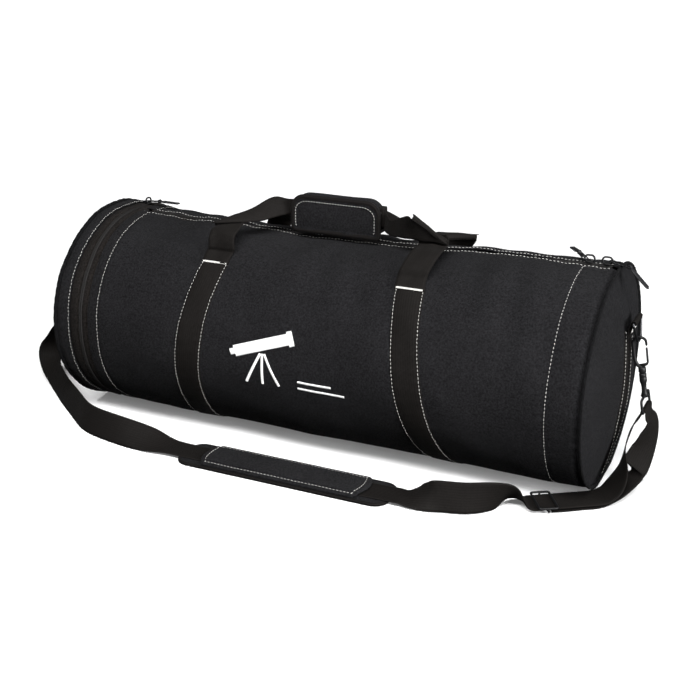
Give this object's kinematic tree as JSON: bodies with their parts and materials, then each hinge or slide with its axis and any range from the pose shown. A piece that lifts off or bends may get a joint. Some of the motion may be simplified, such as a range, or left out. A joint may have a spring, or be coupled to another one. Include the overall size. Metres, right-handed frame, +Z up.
{
  "type": "telescope carry case",
  "caption": "Long padded cylindrical carry case with a zipped end lid, top zip, wrapped webbing carry handles and a padded shoulder strap on swivel hooks.",
  "frame": {"origin": "on the flat underside of the case, at the middle of its length and width", "axes": "+X along the case away from the zipped lid, -Y the side the shoulder pad lies on, +Z up"},
  "size_m": [1.1995, 0.4721, 0.4285],
  "materials": {
    "fabric": "fine black plain-weave polyester, padded, slight satin sheen",
    "webbing": "brownish-black ribbed webbing with pale topstitching",
    "foam": "closed-cell foam padding",
    "lining": "smooth dark grey lining cloth",
    "zip_tape": "woven zip tape",
    "zip_chain": "black coil zip teeth",
    "piping": "fabric-covered cord piping",
    "plated_metal": "satin nickel plating",
    "dark_metal": "black painted metal",
    "moulded_rubber": "matt black soft moulding"
  },
  "bodies": {
    "case": {"outer_shell": "fabric", "foam_padding": "foam", "inner_lining": "lining", "storm_flap": "fabric", "right_rim_band": "fabric", "main_zip_tape_front": "zip_tape", "main_zip_tape_rear": "zip_tape", "main_zip_chain": "zip_chain", "end_zip_chain_case": "zip_chain", "end_zip_tape_case": "zip_tape", "right_panel": "fabric", "right_foam": "foam", "right_piping": "piping", "right_face_strip": "webbing", "right_ring_loop": "webbing", "girth_strip_left": "webbing", "girth_strip_right": "webbing", "handle_leg_front_left": "webbing", "handle_leg_front_right": "webbing", "handle_leg_rear_left": "webbing", "handle_leg_rear_right": "webbing", "strap_main": "webbing", "strap_right_loop": "webbing", "strap_left_rise": "webbing"},
    "lid": {"lid_band": "fabric", "lid_panel": "fabric", "lid_foam": "foam", "lid_piping": "piping", "lid_face_strip": "webbing", "lid_ring_loop": "webbing", "end_zip_chain_lid": "zip_chain", "end_zip_tape_lid": "zip_tape"},
    "carry_grip": {"grip_wrap": "fabric", "handle_core_front": "webbing", "handle_core_rear": "webbing"},
    "grip_flap": {"grip_flap": "fabric"},
    "adjuster": {"adjuster_frame": "dark_metal", "adjuster_bar": "dark_metal"},
    "shoulder_pad": {"shoulder_pad_base": "fabric", "shoulder_pad_sleeve": "fabric"},
    "right_ring": {"right_ring": "plated_metal"},
    "right_hook": {"right_hook_body": "dark_metal"},
    "right_gate": {"right_hook_gate": "plated_metal"},
    "right_swivel": {"right_swivel_eye": "dark_metal"},
    "left_ring": {"left_ring": "plated_metal"},
    "left_hook": {"left_hook_body": "dark_metal"},
    "left_gate": {"left_hook_gate": "plated_metal"},
    "left_swivel": {"left_swivel_eye": "dark_metal"},
    "main_zip_a_slider": {"main_zip_a_slider": "dark_metal"},
    "main_zip_a_link": {"main_zip_a_link": "plated_metal"},
    "main_zip_a_tab": {"main_zip_a_tab": "moulded_rubber"},
    "main_zip_b_slider": {"main_zip_b_slider": "dark_metal"},
    "main_zip_b_link": {"main_zip_b_link": "plated_metal"},
    "main_zip_b_tab": {"main_zip_b_tab": "moulded_rubber"},
    "end_zip_slider": {"end_zip_slider": "dark_metal"},
    "end_zip_link": {"end_zip_link": "plated_metal"},
    "end_zip_tab": {"end_zip_tab": "moulded_rubber"}
  },
  "joints": [
    {"name": "lid_hinge", "type": "hinge", "parent": "case", "child": "lid", "pos_m": [-0.48, 0, 0.002], "axis": [0, -1, 0], "range_deg": [0, 50], "deforming": ["strap_left_rise"]},
    {"name": "grip_lift", "type": "slide", "parent": "case", "child": "carry_grip", "axis": [0, 0, 1], "range_m": [0, 0.06], "deforming": ["handle_leg_front_left", "handle_leg_front_right", "handle_leg_rear_left", "handle_leg_rear_right"]},
    {"name": "grip_flap_hinge", "type": "hinge", "parent": "carry_grip", "child": "grip_flap", "pos_m": [0, -0.0265, 0.374], "axis": [1, 0, 0], "range_deg": [0, 90]},
    {"name": "adjuster_slide", "type": "slide", "parent": "case", "child": "adjuster", "axis": [0.848, 0.5299, 0], "range_m": [-0.008, 0.012]},
    {"name": "shoulder_pad_slide", "type": "slide", "parent": "case", "child": "shoulder_pad", "axis": [1, 0, 0], "range_m": [-0.012, 0.01]},
    {"name": "right_ring_hinge", "type": "hinge", "parent": "case", "child": "right_ring", "pos_m": [0.511, 0, 0.279], "axis": [0, -1, 0], "range_deg": [0, 60], "deforming": ["strap_right_loop"]},
    {"name": "right_hook_swing", "type": "hinge", "parent": "right_ring", "child": "right_hook", "pos_m": [0.51714, 0, 0.24556], "axis": [0, -1, 0], "range_deg": [0, 60]},
    {"name": "right_gate_hinge", "type": "hinge", "parent": "right_hook", "child": "right_gate", "pos_m": [0.53401, 0, 0.209], "axis": [0, -1, 0], "range_deg": [0, 22], "stiffness_Nm_per_rad": 0.05, "springref_deg": -11.46},
    {"name": "right_swivel_turn", "type": "hinge", "parent": "right_hook", "child": "right_swivel", "pos_m": [0.52712, 0, 0.19117], "axis": [-0.1805, 0, 0.9836], "continuous": true},
    {"name": "left_ring_hinge", "type": "hinge", "parent": "lid", "child": "left_ring", "pos_m": [-0.511, 0, 0.279], "axis": [0, 1, 0], "range_deg": [-7, 50]},
    {"name": "left_hook_swing", "type": "hinge", "parent": "left_ring", "child": "left_hook", "pos_m": [-0.52537, 0, 0.24819], "axis": [0, 1, 0], "range_deg": [-7, 45]},
    {"name": "left_gate_hinge", "type": "hinge", "parent": "left_hook", "child": "left_gate", "pos_m": [-0.55091, 0, 0.21707], "axis": [0, 1, 0], "range_deg": [0, 22], "stiffness_Nm_per_rad": 0.05, "springref_deg": -11.46},
    {"name": "left_swivel_turn", "type": "hinge", "parent": "left_hook", "child": "left_swivel", "pos_m": [-0.54874, 0, 0.19807], "axis": [0.4226, 0, 0.9063], "continuous": true},
    {"name": "main_zip_a_travel", "type": "slide", "parent": "case", "child": "main_zip_a_slider", "axis": [1, 0, 0], "range_m": [-0.7, 0]},
    {"name": "main_zip_a_link_hinge", "type": "hinge", "parent": "main_zip_a_slider", "child": "main_zip_a_link", "pos_m": [0.4208, 0, 0.3688], "axis": [0.8572, 0.515, 0], "range_deg": [-2, 40]},
    {"name": "main_zip_a_tab_hinge", "type": "hinge", "parent": "main_zip_a_link", "child": "main_zip_a_tab", "pos_m": [0.40496, 0.02635, 0.36934], "axis": [0.8572, 0.515, 0], "range_deg": [-4, 80]},
    {"name": "main_zip_b_travel", "type": "slide", "parent": "case", "child": "main_zip_b_slider", "axis": [1, 0, 0], "range_m": [-0.006, 0]},
    {"name": "main_zip_b_link_hinge", "type": "hinge", "parent": "main_zip_b_slider", "child": "main_zip_b_link", "pos_m": [0.4648, 0, 0.3688], "axis": [-0.2419, -0.9703, 0], "range_deg": [-2, 45]},
    {"name": "main_zip_b_tab_hinge", "type": "hinge", "parent": "main_zip_b_link", "child": "main_zip_b_tab", "pos_m": [0.49435, -0.00737, 0.36452], "axis": [-0.2419, -0.9703, 0], "range_deg": [-35, 60]},
    {"name": "end_zip_travel", "type": "hinge", "parent": "case", "child": "end_zip_slider", "pos_m": [-0.4239, 0, 0.1416], "axis": [1, 0, 0], "range_deg": [-30, 49]},
    {"name": "end_zip_link_hinge", "type": "hinge", "parent": "end_zip_slider", "child": "end_zip_link", "pos_m": [-0.4239, 0.02825, 0.36699], "axis": [0, -1, 0], "range_deg": [-3, 34]},
    {"name": "end_zip_tab_hinge", "type": "hinge", "parent": "end_zip_link", "child": "end_zip_tab", "pos_m": [-0.39322, 0.02825, 0.36913], "axis": [0, -1, 0], "range_deg": [-2, 60]}
  ]
}
